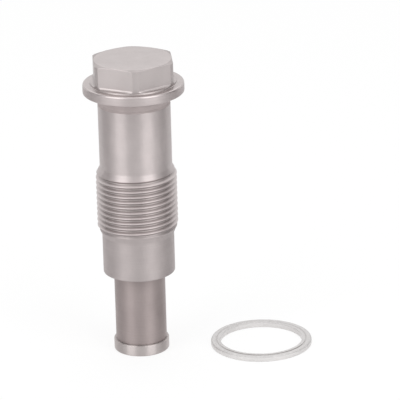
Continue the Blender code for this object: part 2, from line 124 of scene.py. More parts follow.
class InnerSizes(PropertyGroup):
    shank: length("Shank radius", "Radius of the plunger outside the housing", 0.00695)
    shank_wall: length("Plunger wall", "Wall of the hollow plunger", 0.00175)
    plunger_floor: length("Plunger floor", "Thickness of the plunger's closed end", 0.0042)
    guide_length: length("Guide length", "Height of the plunger's wide upper end", 0.01135)
    spigot: length("Spigot radius", "Radius under the ring on the foot", 0.006)
    spigot_length: length("Spigot length", "Height of the spigot", 0.00318)
    stop_wire: length("Stop ring wire", "Radius of the stop ring's wire", 0.0006)
    stop_opening: angle("Stop ring opening", "Gap between the stop ring's ends", 40)
    spring_wire: length("Spring wire", "Radius of the plunger spring's wire", 0.0007)
    spring_turns: amount("Spring turns", "Turns of the plunger spring", 13)
    check_wire: length("Check spring wire", "Radius of the check spring's wire", 0.00015)
    check_turns: amount("Check spring turns", "Turns of the check spring", 3.5)
    check_top: length("Check spring top", "Radius of its narrow turn", 0.001)
    stem: length("Reducer stem", "Radius of the volume reducer", 0.00315)
    reducer_flange: length("Reducer flange", "Thickness of the reducer's foot", 0.0008)
    slot_width: length("Slot width", "Width of the reducer's oil slot", 0.0012)
    slot_depth: length("Slot depth", "Depth of the reducer's oil slot", 0.0011)
    seat_hole: length("Seat hole", "Radius of the valve's hole", 0.0013)
    cage_inner: length("Cage radius", "Inner radius of the cage's cup", 0.00225)
    window_width: length("Window width", "Width of the cage's windows", 0.0016)
    seal_width: length("Seal width", "Radial width of the sealing ring", 0.00262)


class TensionerFinish(PropertyGroup):
    turned: colour("Turned steel", "The housing's turned surfaces", (0.50, 0.452, 0.448))
    milled: colour("Milled steel", "The head's flats and faces", (0.45, 0.41, 0.405))
    worn: colour("Worn steel", "The plunger", (0.365, 0.313, 0.307))
    bright: colour("Bright steel", "The ring on the foot and the cage", (0.49, 0.446, 0.437))
    spring: colour("Spring steel", "Wires and springs", (0.27, 0.27, 0.28))
    hard: colour("Hardened steel", "The check ball and its seat", (0.58, 0.57, 0.56))
    nylon: colour("Nylon", "The volume reducer", (0.09, 0.085, 0.08))
    aluminium: colour("Aluminium", "The sealing ring", (0.62, 0.605, 0.60))
    # This dark colour paints shade in the thread's roots, under the flange's seat and along the sealing
    # ring's seam
    painted_shade: colour("Painted_shade", "Old oil in the thread's roots", (0.20, 0.178, 0.17))


class StageSettings(PropertyGroup):
    distance: length("Camera distance", "From the camera to the point it aims at", 0.93)
    elevation: angle("Elevation", "Height of the camera above the horizon", 20.03)
    bearing: angle("Bearing", "Turn of the camera about the object", -4)
    roll: angle("Roll", "Tilt of the picture", -1.528)
    aim_height: length("Aim height", "Height on the axis that the camera starts from", 0.042)
    picture_width: length("Picture width", "Width seen at the aim point", 0.10853)
    left_bearing: angle("Left lamp bearing", "Of the tall lamp left of the camera", -46)
    right_bearing: angle("Right lamp bearing", "Of the tall lamp right of the camera", 41)
    lamp_elevation: angle("Lamp elevation", "Of each tall lamp", 26)
    lamp_distance: length("Lamp distance", "Of each tall lamp from the body", 0.8)
    lamp_width: length("Lamp width", "Width of each tall lamp", 0.52)
    lamp_height: length("Lamp height", "Height of each tall lamp", 0.9)
    lamp_power: amount("Lamp power", "Watts of each tall lamp", 2.1)
    top_power: amount("Top lamp power", "Watts of the lamp overhead", 3.0)
    sky: amount("Sky", "Strength of the plain light from all round", 0.55)
    left_card: colour("Left card", "The grey card on the left", (0.65, 0.64, 0.64))
    right_card: colour("Right card", "The grey card on the right", (0.48, 0.47, 0.47))
    floor: colour("Floor", "The pale floor", (0.92, 0.92, 0.92))
    steps: IntProperty(name="Steps", description="Facets round a turned piece", default=144, min=24)


# Small sizes of the housing

MOUTH = 0.0004
GROOVE_INSET = 0.0022
GROOVE_HALF = 0.00075
GROOVE_DEPTH = 0.00095
DRILL_POINT = math.radians(118)
RUN_IN = 0.0018
CREST_EDGE = 0.00007
ROOT_EDGE = 0.00016
RELIEF_RUN_OUT = 0.0006
FLANGE_EDGE = 0.0006
FLANGE_FOOT = 0.00045
CORNER_EASE = 0.000002
UPPER_LIP = 0.00016
CONE_EASE = 0.00005
FADE = 0.0007
FADE_RISE = 0.0017
EDGE = 0.00012
FEED_RISE = 0.0055


# Small sizes of the inner pieces and the sealing ring

CLEARANCE = 0.00004
PLUNGER_EDGE = 0.0003
RING_EDGE = 0.0002
RING_CHAMFER = 0.0003
SPRING_END_GAP = 0.00025
WINDOW_MARGIN = 0.0009
SEAT_CONE = 0.001
CAGE_WALL = 0.0005
SEAL_EDGE = 0.00018
SEAL_TOP = 0.0006
SEAL_FOOT = 0.0003
SEAL_LIP = 0.0009
SEAM_WIDTH = 0.0003
SEAM_DEPTH = 0.00014


# Grey cards, floor and camera

CARD_BEARING = math.radians(100)
CARD_DISTANCE = 0.26
CARD_WIDTH = 0.16
CARD_HEIGHT = 0.42
FLOOR_SIZE = 3.0
AIM_RIGHT = 0.017036
AIM_UP = 0.000428


# Shapes

CORNER_STEPS = 5
THREAD_CORNER_STEPS = 3
SIDE_USE = 0.95
SOFTNESS = 0.00003
MERGE_DISTANCE = 0.000002
SHARP_ANGLE = math.radians(25)
FILLET_STEPS = 8
LIP_FADE = 0.7
CORNER_REACH = 0.00003
WIRE_RESOLUTION = 4
END_TAPER = 0.8
COIL_STEPS = 40
CUT_MARGIN = 0.002
HEX_SECTOR = math.pi / 3


def rounded(points, steps=CORNER_STEPS):
    """An outline of (radius, height, rounding) points with each corner eased by a short curve."""
    outline = []
    count = len(points)
    for index, (radius, height, rounding) in enumerate(points):
        corner = Vector((radius, height))
        if not rounding or index in (0, count - 1):
            outline.append(corner)
            continue
        before = Vector(points[index - 1][:2]) - corner
        after = Vector(points[index + 1][:2]) - corner
        before_share = SIDE_USE * before.length * rounding / (rounding + points[index - 1][2])
        after_share = SIDE_USE * after.length * rounding / (rounding + points[index + 1][2])
        reach = min(rounding, before_share, after_share)
        start = corner + before.normalized() * reach
        end = corner + after.normalized() * reach
        for step in range(steps + 1):
            t = step / steps
            outline.append(start * (1 - t) ** 2 + corner * 2 * t * (1 - t) + end * t**2)
    return outline


def closed_ring(points):
    """A ring's section with its corners rounded. The loop starts in the middle of a side."""
    middle = (Vector(points[0][:2]) + Vector(points[-1][:2])) / 2
    start = (middle.x, middle.y, 0)
    return rounded([start, *points, start])[:-1]


def saved(name, shape):
    """The mesh of a finished shape."""
    mesh = bpy.data.meshes.new(name)
    shape.to_mesh(mesh)
    shape.free()
    return mesh


def joined(name, shape):
    """The mesh of a skin, with doubled points merged and all faces turned outward."""
    bmesh.ops.remove_doubles(shape, verts=shape.verts, dist=MERGE_DISTANCE)
    bmesh.ops.dissolve_degenerate(shape, edges=shape.edges, dist=MERGE_DISTANCE)
    bmesh.ops.recalc_face_normals(shape, faces=shape.faces)
    return saved(name, shape)


def basic_mesh(name, make, stretch=(1, 1, 1), **settings):
    """A mesh from one of the plain bmesh shapes, stretched along X, Y and Z."""
    shape = bmesh.new()
    make(shape, **settings)
    bmesh.ops.scale(shape, vec=stretch, verts=shape.verts)
    return saved(name, shape)


def skin(name, columns, closed=False, thread=(0, 0, 0)):
    """Faces between columns of points that stand round the axis.

    Thread holds the first and the last row of a thread, and the rows that one turn climbs.
    """
    shape = bmesh.new()
    grid = [[shape.verts.new(point) for point in column] for column in columns]
    rows = len(grid[0])
    first, last, climb = thread
    for index, left in enumerate(grid):
        right = grid[(index + 1) % len(grid)]
        seam = index == len(grid) - 1
        for row in range(rows if closed else rows - 1):
            shift = climb if seam and first <= row < last else 0
            if shift and row - shift < first:
                continue
            low = (row + 1) % rows
            shape.faces.new((left[row], right[row - shift], right[low - shift], left[low]))
    return joined(name, shape)


def around(point, turn):
    return (point[0] * math.cos(turn), point[0] * math.sin(turn), point[1])


def smoothed(mesh):
    mesh.shade_smooth()
    mesh.set_sharp_from_angle(angle=SHARP_ANGLE)
    return mesh


def new_object(name, mesh):
    item = bpy.data.objects.new(name, mesh)
    bpy.context.scene.collection.objects.link(item)
    return item


def turned(name, outline, place=(0, 0, 0), closed=False):
    """An outline of (radius, height) points turned about its own Z axis."""
    steps = bpy.context.scene.tensioner_stage.steps
    columns = []
    for index in range(steps):
        turn = FULL_TURN * index / steps
        columns.append([around(point, turn) for point in outline])
    item = new_object(name, smoothed(skin(name, columns, closed)))
    item.location = place
    return item


def wire(name, points, radius, height):
    """A round wire along the given points, raised by a height, as a mesh with tapered ends."""
    curve = bpy.data.curves.new(name, "CURVE")
    curve.dimensions = "3D"
    curve.bevel_depth = radius
    curve.bevel_resolution = WIRE_RESOLUTION
    curve.use_fill_caps = True
    spline = curve.splines.new("POLY")
    spline.points.add(len(points) - 1)
    for spot, point in zip(spline.points, points):
        spot.co = (*point, 1)
    spline.points[0].radius = END_TAPER
    spline.points[-1].radius = END_TAPER
    source = new_object(name + "_line", curve)
    graph = bpy.context.evaluated_depsgraph_get()
    mesh = bpy.data.meshes.new_from_object(source.evaluated_get(graph))
    bpy.data.objects.remove(source)
    shape = bmesh.new()
    shape.from_mesh(mesh)
    bmesh.ops.remove_doubles(shape, verts=shape.verts, dist=MERGE_DISTANCE)
    shape.to_mesh(mesh)
    shape.free()
    item = new_object(name, smoothed(mesh))
    item.location.z = height
    return item


def coil_points(turns, height, low_radius, high_radius, end_pitch=0):
    """Points up a coil. With an end pitch, its first and last turns are wound close."""
    low_turn = 1 if end_pitch else 0
    high_turn = turns - low_turn
    pitch = (height - 2 * low_turn * end_pitch) / (high_turn - low_turn)
    count = round(turns * COIL_STEPS)
    points = []
    for index in range(count + 1):
        turn = turns * index / count
        open_turns = min(max(turn, low_turn), high_turn) - low_turn
        radius = low_radius + (high_radius - low_radius) * turn / turns
        rise = open_turns * pitch + (turn - open_turns) * end_pitch
        points.append((*around((radius, 0), FULL_TURN * turn)[:2], rise))
    return points


def box_cutter(name, size, place):
    cutter = new_object(name, basic_mesh(name, bmesh.ops.create_cube, size, size=1))
    cutter.location = place
    return cutter


def cut(item, *cutters):
    """Takes the cutters' shapes out of the item and removes them."""
    for cutter in cutters:
        modifier = item.modifiers.new(cutter.name, "BOOLEAN")
        modifier.solver = "EXACT"
        modifier.object = cutter
    graph = bpy.context.evaluated_depsgraph_get()
    mesh = bpy.data.meshes.new_from_object(item.evaluated_get(graph))
    item.modifiers.clear()
    item.data = smoothed(mesh)
    for cutter in cutters:
        bpy.data.objects.remove(cutter)


def softest(values, softness=SOFTNESS):
    """The smallest of some lengths, with the change from one to the next eased."""
    low = min(values)
    return low - softness * math.log(sum(math.exp((low - value) / softness) for value in values))


def widest(values, softness=SOFTNESS):
    """The largest of some lengths, with the change from one to the next eased."""
    return -softest([-value for value in values], softness)


# Grain of the noise along X, Y and Z, in waves a metre

CLOUDS = (170, 170, 120)
FINE_GRAIN = (5200, 5200, 5200)
TURNED_MARKS = (14, 14, 5200)
FLAT_MARKS = (300, 300, 2600)
SEAL_MARKS = (700, 700, 1500)
WIRE_MARKS = (900, 900, 900)
DRAWN_MARKS = (900, 900, 2500)
NYLON_CLOUDS = (500, 500, 160)
NYLON_GRAIN = (2600, 2600, 2600)


# Depths of the marks, and shares that the finishes and the painted shade use

GRAIN_DEPTH = 0.0000012
MARK_DEPTH = 0.000002
NYLON_DEPTH = 0.000006
ALONG_AXIS = 0.25
ROUGHNESS_SPREAD = 0.16
# Strength of the painted shade in the thread's roots and under the flange's seat, and the share of the
# thread's depth left unshaded at the crests
ROOT_SHADE = 0.5
SEAT_SHADE = 0.7
UNSHADED_CREST = 0.25
SEAL_SHEEN = 0.6
PLAIN_METAL = (0.0, 0.07)
CLOUD_DETAIL = 5
MARK_DETAIL = 3
MARK_CONTRAST = 0.7
GRAIN_DETAIL = 2
# Painted shade in the seam's crease: its strength at the front and at the back, and where each begins, in
# radii
SEAM_DARK = 0.85
SEAM_FAINT = 0.1
SEAM_FRONT = -0.7
SEAM_BACK = -0.25
NYLON_SHADES = (0.85, 1.2)
NYLON_ROUGHNESS = (0.44, 0.58)


# Each metal's colour, shade, roughness, marks, brushing and mottle

METALS = {
    # Apart from the plain turned and milled steels, the housing's rows are lighter and darker copies of
    # them whose shades paint light and shade on each zone
    "turned_steel": ("turned", 1.0, 0.46, TURNED_MARKS, 0.85),
    "milled_steel": ("milled", 1.0, 0.40, FLAT_MARKS, 0.0, 0.05),
    "thread_steel": ("turned", 1.1, 0.36, TURNED_MARKS, 0.5),
    "nose_steel": ("turned", 0.925, 0.55, TURNED_MARKS, 0.75),
    "rim_steel": ("turned", 1.03, 0.58, TURNED_MARKS, 0.75),
    "relief_steel": ("turned", 1.13, 0.85, TURNED_MARKS),
    "corner_steel": ("milled", 1.03, 0.40, FLAT_MARKS, 0.0, 0.05),
    "chamfer_steel": ("milled", 0.8, 0.5, FLAT_MARKS),
    "rim_edge_steel": ("turned", 0.98, 0.28, TURNED_MARKS, 0.6),
    "worn_steel": ("worn", 1.0, 0.50, TURNED_MARKS, 0.8, 0.06),
    "bright_steel": ("bright", 1.08, 0.40, TURNED_MARKS, 1.0, 0.05),
    "stop_ring_steel": ("spring", 1.0, 0.36, WIRE_MARKS),
    "spring_steel": ("spring", 1.0, 0.34, DRAWN_MARKS),
    "hardened_steel": ("hard", 1.0, 0.24, TURNED_MARKS, 0.5, 0.03),
    "ball_steel": ("hard", 1.0, 0.10, WIRE_MARKS, 0.0, 0.02),
    "pressed_steel": ("bright", 1.0, 0.34, WIRE_MARKS, 0.0, 0.05),
    # The sealing ring's top and walls are a darker and a lighter copy of one aluminium: painted shade and
    # painted light
    "seal_aluminium": ("aluminium", 0.95, 0.65, SEAL_MARKS, 0.0, 0.04),
    "seal_wall": ("aluminium", 1.14, 0.65, SEAL_MARKS, 0.0, 0.04),
}


# The housing's finishes with their painted light and shade, in the order of its material slots

HOUSING_FINISHES_AND_SHADES = (
    "turned", "milled", "thread", "nose", "rim", "relief", "corner", "chamfer", "rim_edge",
)


# Materials

def fill(owner, socket, value):
    """Sets a socket to a value, or links another node's output to it."""
    if isinstance(value, bpy.types.NodeSocket):
        owner.node_tree.links.new(value, socket)
    elif socket.type == "RGBA":
        socket.default_value = (*value, 1)
    else:
        socket.default_value = value


def add_node(owner, kind, values=None, **settings):
    """A new node in a material or a world, with some of its settings and sockets filled in."""
    node = owner.node_tree.nodes.new("ShaderNode" + kind)
    for name, value in settings.items():
        setattr(node, name, value)
    for name, value in (values or {}).items():
        fill(owner, node.inputs[name], value)
    return node


def dress(material, values):
    """Fills in sockets of a material's main shader."""
    shader = material.node_tree.nodes["Principled BSDF"]
    for name, value in values.items():
        fill(material, shader.inputs[name], value)


def new_finish(name, colour, roughness, metallic, anisotropic=0.0, along=0.0):
    """A plain material. Its brushed direction turns about the Z axis."""
    material = bpy.data.materials.new(name)
    material.use_nodes = True
    dress(material, {
        "Base Color": colour,
        "Roughness": roughness,
        "Metallic": metallic,
        "Anisotropic": anisotropic,
        "Anisotropic Rotation": along,
    })
    if anisotropic:
        tangent = add_node(material, "Tangent", direction_type="RADIAL", axis="Z")
        dress(material, {"Tangent": tangent.outputs["Tangent"]})
    return material


def own_place(material):
    return add_node(material, "TexCoord").outputs["Object"]


def add_noise(material, stretch, detail=4.0, rough=0.55):
    """Noise over the object's own coordinates, with its own grain along X, Y and Z."""
    mapping = add_node(material, "Mapping", {"Vector": own_place(material), "Scale": stretch})
    noise = {"Vector": mapping.outputs["Vector"], "Scale": 1, "Detail": detail, "Roughness": rough}
    return add_node(material, "TexNoise", noise).outputs["Fac"]


def add_range(material, source, low, high, from_low=0.3, from_high=0.7):
    """Spreads a range of the source, usually the middle of a noise, over the wanted values."""
    ends = {"From Min": from_low, "From Max": from_high, "To Min": low, "To Max": high}
    return add_node(material, "MapRange", {"Value": source, **ends}).outputs["Result"]


def add_tint(material, factor, first, second):
    """A colour that runs from the first to the second with the factor."""
    mix = add_node(material, "Mix", {"Factor": factor}, data_type="RGBA")
    for name, value in (("A", first), ("B", second)):
        socket = [entry for entry in mix.inputs if entry.name == name and entry.type == "RGBA"][0]
        fill(material, socket, value)
    return [entry for entry in mix.outputs if entry.type == "RGBA"][0]


def add_bump(material, height, distance, under=None):
    bump = add_node(material, "Bump", {"Distance": distance, "Height": height})
    if under:
        fill(material, bump.inputs["Normal"], under)
    return bump.outputs["Normal"]


def shaded(colour, factor):
    return tuple(min(1, part * factor) for part in colour)


def metal(name):
    """A metal from the table, with tool marks, cloudy patches and fine grain."""
    source, shade, roughness, marks, *rest = METALS[name]
    anisotropic, mottle = (*rest, *PLAIN_METAL[len(rest):])
    colour = shaded(getattr(bpy.context.scene.tensioner_finish, source), shade)
    material = new_finish(name, colour, roughness, 1.0, anisotropic, ALONG_AXIS)
    patch = add_range(material, add_noise(material, CLOUDS, CLOUD_DETAIL), 0, 1)
    tint = add_tint(material, patch, shaded(colour, 1 - mottle), shaded(colour, 1 + mottle))
    lines = add_noise(material, marks, MARK_DETAIL, MARK_CONTRAST)
    spread = roughness * ROUGHNESS_SPREAD
    grain = add_noise(material, FINE_GRAIN, GRAIN_DETAIL)
    fine = add_bump(material, grain, GRAIN_DEPTH)
    dress(material, {
        "Base Color": tint,
        "Roughness": add_range(material, lines, roughness - spread, roughness + spread),
        "Normal": add_bump(material, lines, MARK_DEPTH, fine),
    })
    return material


def add_radius(material):
    """Distance from the object's own Z axis."""
    flat = add_node(material, "Mapping", {"Vector": own_place(material), "Scale": (1, 1, 0)})
    distance = add_node(material, "VectorMath", {0: flat.outputs["Vector"]}, operation="LENGTH")
    return distance.outputs["Value"]


def add_place(material, axis):
    """One of the object's own coordinates."""
    return add_node(material, "SeparateXYZ", {"Vector": own_place(material)}).outputs[axis]


def add_math(owner, operation, first, second=0.0):
    """The result of a sum with two values, where either can come from another node."""
    node = add_node(owner, "Math", {0: first, 1: second}, operation=operation)
    return node.outputs["Value"]


def add_painted_shade(material, depth):
    """Runs the material's colour towards a dark tint with the depth: painted shade."""
    painted_shade = bpy.context.scene.tensioner_finish.painted_shade
    shader = material.node_tree.nodes["Principled BSDF"]
    tint = shader.inputs["Base Color"].links[0].from_socket
    dress(material, {"Base Color": add_tint(material, depth, tint, painted_shade)})


def add_seam_shade(material, radius, half_width):
    """Paints shade along a line round the axis at one radius, the seam's crease, darker towards the
    front.
    """
    ends = (radius * SEAM_FRONT, radius * SEAM_BACK)
    front_shade = add_range(material, add_place(material, "Y"), SEAM_DARK, SEAM_FAINT, *ends)
    off_line = add_math(material, "SUBTRACT", add_radius(material), radius)
    off_line = add_math(material, "ABSOLUTE", off_line)
    line = add_range(material, off_line, 1, 0, half_width / 2, half_width)
    add_painted_shade(material, add_math(material, "MULTIPLY", line, front_shade))


# Least upward tilt of a rising face, an edge, a crown and a level face

RISING = 0.1
TILTED = 0.2
CROWNING = 0.9
LEVEL = 0.98


# Pieces

def place_piece(item, node, slot, material, *more):
    """Gives a piece its materials and its body, and hides the node that it stands for. Its slot is not
    used.
    """
    bodies = frame["record"]["behaviour"]["bodies"]
    body = [name for name, members in bodies.items() if node in members][0]
    item.data.materials.clear()
    for finish in (material, *more):
        item.data.materials.append(finish)
    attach(item, body)
    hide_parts(node)


def shorten(item, node):
    """Gives a spring that a joint presses its own copy of its mesh."""
    for joint in frame["record"]["behaviour"]["joints"]:
        for entry in joint["deforming_nodes"]:
            if entry["node"] != node:
                continue
            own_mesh(item)


def hex_radius(sizes, turn, outward=0.0):
    """Radius of the milled head at a turn about the axis, or outside its flats by a length.

    A corner faces -Y.
    """
    off_middle = (turn - math.pi / 2) % HEX_SECTOR - HEX_SECTOR / 2
    flat = (sizes.across_flats / 2 + outward) / math.cos(off_middle)
    return softest((flat, sizes.blank), CORNER_EASE)


def flat_foot(sizes, turn, height):
    """Points down the fillet that runs straight along the foot of each flat."""
    points = []
    for step in range(FILLET_STEPS + 1):
        lean = math.pi / 2 * step / FILLET_STEPS
        outward = sizes.fillet * (1 - math.cos(lean))
        rise = sizes.fillet * (1 - math.sin(lean))
        points.append((hex_radius(sizes, turn, outward), height + rise, 0))
    return points


def housing_turns(sizes, steps):
    """Turns about the axis, with one more where each flat begins and ends."""
    reach = math.acos(sizes.across_flats / 2 / sizes.blank)
    turns = [FULL_TURN * index / steps for index in range(steps)]
    for face in range(6):
        middle = math.pi / 2 + math.pi / 6 + face * HEX_SECTOR
        turns += [(middle + side) % FULL_TURN for side in (-reach, reach)]
    return sorted(turns)


def head_outline(sizes, turn, flange_radius, heights):
    """From the middle of the crown down to the top of the smooth body, at one turn."""
    wall = hex_radius(sizes, turn)
    crown = sizes.blank - sizes.chamfer
    slope = math.tan(sizes.chamfer_angle)
    head_top = heights["top"]
    low_edge = head_top - (wall - crown) * slope
    seat = heights["seat"]
    top = seat + sizes.flange_thickness
    flats = top + sizes.step
    relief = sizes.upper - sizes.relief_depth
    middle = sizes.across_flats / 2
    lip = UPPER_LIP * (1 - LIP_FADE * (wall - middle) / (sizes.blank - middle))
    return rounded([
        (0, head_top, 0),
        (crown / 2, head_top, 0),
        (crown, head_top, 2 * EDGE),
        (wall, low_edge, lip),
        *flat_foot(sizes, turn, flats),
        (sizes.blank, flats, EDGE),
        (sizes.blank, top, 1.5 * EDGE),
        (flange_radius, top, FLANGE_EDGE),
        (flange_radius, seat, FLANGE_FOOT),
        (relief, seat, EDGE),
        (relief, seat - sizes.relief_width + RELIEF_RUN_OUT, EDGE),
        (sizes.upper, seat - sizes.relief_width, EDGE),
        (sizes.upper, seat - sizes.relief_width - 4 * EDGE, 0),
    ])


def housing_heights(sizes):
    """Heights of the housing's outside, from its nose up."""
    low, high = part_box("housing")
    heights = {"nose": low.z, "top": high.z}
    heights["lead"] = heights["nose"] + sizes.nose_length
    heights["thread"] = heights["lead"] + sizes.lead
    heights["run_out"] = heights["thread"] + sizes.thread_length
    heights["upper"] = heights["run_out"] + sizes.run_out
    heights["seat"] = heights["upper"] + sizes.upper_length
    heights["shoulder"] = heights["nose"] + sizes.bore_depth
    return heights


def thread_depth(sizes):
    """Depth of a standard thread of this pitch."""
    return sizes.pitch * math.cos(math.pi / 6) * 5 / 8


def thread_rows(sizes):
    """One pitch of the thread as (rise, radius) rows, from the middle of a crest to the next."""
    pitch = sizes.pitch
    root = sizes.thread - thread_depth(sizes)
    section = rounded([
        (sizes.thread, 0, 0),
        (sizes.thread, pitch / 16, CREST_EDGE),
        (root, pitch * 3 / 8, ROOT_EDGE),
        (root, pitch * 5 / 8, ROOT_EDGE),
        (sizes.thread, pitch * 15 / 16, CREST_EDGE),
        (sizes.thread, pitch, 0),
    ], THREAD_CORNER_STEPS)
    return [(rise, radius) for radius, rise in section[:-1]]


def thread_column(sizes, heights, turn, rows, turns):
    """The thread's surface at one turn about the axis, down from its upper end to its lower end."""
    margin = sizes.pitch / 2
    low = heights["lead"] - margin
    high = heights["upper"] + margin
    lead_slope = (sizes.thread - sizes.nose) / sizes.lead
    run_slope = (sizes.thread - sizes.upper) / sizes.run_out
    fade_top = heights["run_out"] + FADE_RISE
    start = heights["lead"] - RUN_IN - sizes.pitch / 2
    column = []
    for number in range(turns):
        base = start + (number + turn / FULL_TURN) * sizes.pitch
        for rise, radius in rows:
            height = min(max(base + rise, low), high)
            lead_rise = (height - heights["lead"]) * lead_slope
            run_rise = (heights["upper"] - height) * run_slope
            lead = widest((sizes.nose, sizes.nose + lead_rise), CONE_EASE)
            run_out = widest((sizes.upper, sizes.upper + run_rise), CONE_EASE)
            depth = min(max((fade_top - height) / FADE, 0), 1)
            groove = sizes.thread - (sizes.thread - radius) * depth
            column.append(around((softest((lead, run_out, groove)), height), turn))
    return column


def bore_outline(sizes, heights):
    """From the outside of the nose through the bore to the drill point of the reservoir."""
    groove = heights["nose"] + GROOVE_INSET
    deep = sizes.bore + GROOVE_DEPTH
    top = heights["shoulder"] + sizes.reservoir_depth
    drill = sizes.reservoir / math.tan(DRILL_POINT / 2)
    return rounded([
        (sizes.nose, heights["nose"] + 8 * EDGE, 0),
        (sizes.nose, heights["nose"], 2 * EDGE),
        (sizes.bore + MOUTH, heights["nose"], EDGE),
        (sizes.bore, heights["nose"] + MOUTH, EDGE),
        (sizes.bore, groove - GROOVE_HALF, EDGE / 2),
        (deep, groove - GROOVE_HALF, 2 * EDGE),
        (deep, groove + GROOVE_HALF, 2 * EDGE),
        (sizes.bore, groove + GROOVE_HALF, EDGE / 2),
        (sizes.bore, heights["shoulder"], EDGE),
        (sizes.reservoir, heights["shoulder"], EDGE),
        (sizes.reservoir, top, EDGE),
        (0, top + drill, 0),
    ])


def housing_mesh(sizes, heights):
    """The housing's whole skin: its head, the thread, the smooth nose and the bores."""
    flange_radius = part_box("housing")[1].x
    rows = thread_rows(sizes)
    span = heights["upper"] - heights["lead"] + sizes.pitch
    turns = math.ceil(span / sizes.pitch) + 2
    bore = bore_outline(sizes, heights)
    columns = []
    for turn in housing_turns(sizes, bpy.context.scene.tensioner_stage.steps):
        head = head_outline(sizes, turn, flange_radius, heights)
        upper = [around(point, turn) for point in head]
        thread = thread_column(sizes, heights, turn, rows, turns)[::-1]
        columns.append(upper + thread + [around(point, turn) for point in bore])
    last = len(head) + len(thread) - 1
    return skin("housing_body", columns, thread=(len(head), last, len(rows)))


def feed_hole_cutter(sizes, heights):
    """A drill that runs from the reservoir out through the back, with an eased mouth."""
    outside = sizes.upper + EDGE
    outline = [
        (0, outside + CUT_MARGIN),
        (sizes.feed_hole + CUT_MARGIN, outside + CUT_MARGIN),
        (sizes.feed_hole + 3 * EDGE, outside),
        (sizes.feed_hole, outside - 3 * EDGE),
        (sizes.feed_hole, sizes.reservoir - CUT_MARGIN),
        (0, sizes.reservoir - CUT_MARGIN),
    ]
    cutter = turned("feed_hole_cutter", outline)
    cutter.rotation_euler.x = -math.pi / 2
    cutter.location = (0, 0, heights["shoulder"] + FEED_RISE)
    return cutter


def housing_steels(sizes, heights):
    """The housing's finishes, with painted shade in the thread's roots and a painted shadow along the
    flange's seat.
    """
    made = {name: metal(name + "_steel") for name in HOUSING_FINISHES_AND_SHADES}
    thread = made["thread"]
    depth = thread_depth(sizes)
    roots = (sizes.thread - depth, sizes.thread - depth * UNSHADED_CREST)
    # Painted shade: darker towards the thread's roots, none on the crests
    add_painted_shade(thread, add_range(thread, add_radius(thread), ROOT_SHADE, 0, *roots))
    relief = made["relief"]
    # Painted shadow: a dark line on the relief just under the flange's seat
    seat_line = (heights["seat"] - 4 * EDGE, heights["seat"] - EDGE)
    add_painted_shade(relief, add_range(relief, add_place(relief, "Z"), 0, SEAT_SHADE, *seat_line))
    return made.values()


def housing_finish_and_shade(face, sizes, heights):
    """Names the finish of one of the housing's faces, from its place and its tilt. Each finish's shade
    factor paints light and shade on its zones.
    """
    height = face.center.z
    radius = math.hypot(face.center.x, face.center.y)
    upward = face.normal.z
    top = heights["seat"] + sizes.flange_thickness
    chamfer_foot = heights["top"] - sizes.chamfer
    crown = sizes.blank - sizes.chamfer + EDGE
    if height > top - FLANGE_EDGE and radius > sizes.blank and TILTED < upward < LEVEL:
        return "rim_edge"
    if height > top - EDGE and upward < TILTED and radius > sizes.blank - CORNER_REACH:
        return "corner"
    if height > chamfer_foot and upward > CROWNING and radius > crown:
        return "chamfer"
    if height > chamfer_foot and radius > sizes.blank - EDGE:
        return "chamfer"
    if height > top - EDGE:
        return "milled"
    if radius > sizes.thread + EDGE:
        return "rim"
    relief = heights["seat"] - sizes.relief_width
    if height > relief and radius > sizes.nose - sizes.relief_depth:
        return "relief"
    above = height - heights["run_out"]
    if radius < sizes.nose - EDGE or above > FADE_RISE:
        return "turned"
    run_slope = (sizes.thread - sizes.upper) / sizes.run_out
    if above > 0 and radius > sizes.thread - above * run_slope - EDGE / 2:
        return "turned"
    below = heights["thread"] - height
    lead_slope = (sizes.thread - sizes.nose) / sizes.lead
    on_cone = radius > sizes.thread - below * lead_slope - EDGE / 2
    if below > 0 and (on_cone or upward > RISING):
        return "nose"
    smooth_cone = (sizes.thread - thread_depth(sizes) - sizes.nose) / lead_slope
    return "thread" if height > heights["lead"] + smooth_cone else "nose"


class TENSIONER_OT_housing(Operator):
    """Builds the housing with its hexagon head, flange, thread, nose and bores"""

    bl_idname = "tensioner.housing"
    bl_label = "Housing"

    def execute(self, context):
        sizes = context.scene.tensioner_housing
        heights = housing_heights(sizes)
        item = new_object("housing_body", smoothed(housing_mesh(sizes, heights)))
        cut(item, feed_hole_cutter(sizes, heights))
        place_piece(item, "housing", "turned_steel", *housing_steels(sizes, heights))
        # Each face takes a copy with painted light and shade for its zone and its tilt
        for face in item.data.polygons:
            finish = housing_finish_and_shade(face, sizes, heights)
            face.material_index = HOUSING_FINISHES_AND_SHADES.index(finish)
        return {"FINISHED"}


class TENSIONER_OT_plunger(Operator):
    """Builds the hollow plunger"""

    bl_idname = "tensioner.plunger"
    bl_label = "Plunger"

    def execute(self, context):
        sizes = context.scene.tensioner_inner
        low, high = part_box("plunger")
        bore = sizes.shank - sizes.shank_wall
        guide = high.x
        edge = PLUNGER_EDGE
        guide_bottom = high.z - sizes.guide_length
        outline = rounded([
            (0, sizes.plunger_floor, 0),
            (bore, sizes.plunger_floor, edge),
            (bore, high.z, edge),
            (guide, high.z, edge),
            (guide, guide_bottom, edge / 3),
            (sizes.shank, guide_bottom, edge / 3),
            (sizes.shank, sizes.spigot_length, edge / 2),
            (sizes.spigot, sizes.spigot_length, edge / 3),
            (sizes.spigot, low.z, edge / 2),
            (0, low.z, 0),
        ])
        item = turned("plunger_body", outline)
        place_piece(item, "plunger", "worn_steel", metal("worn_steel"))
        return {"FINISHED"}


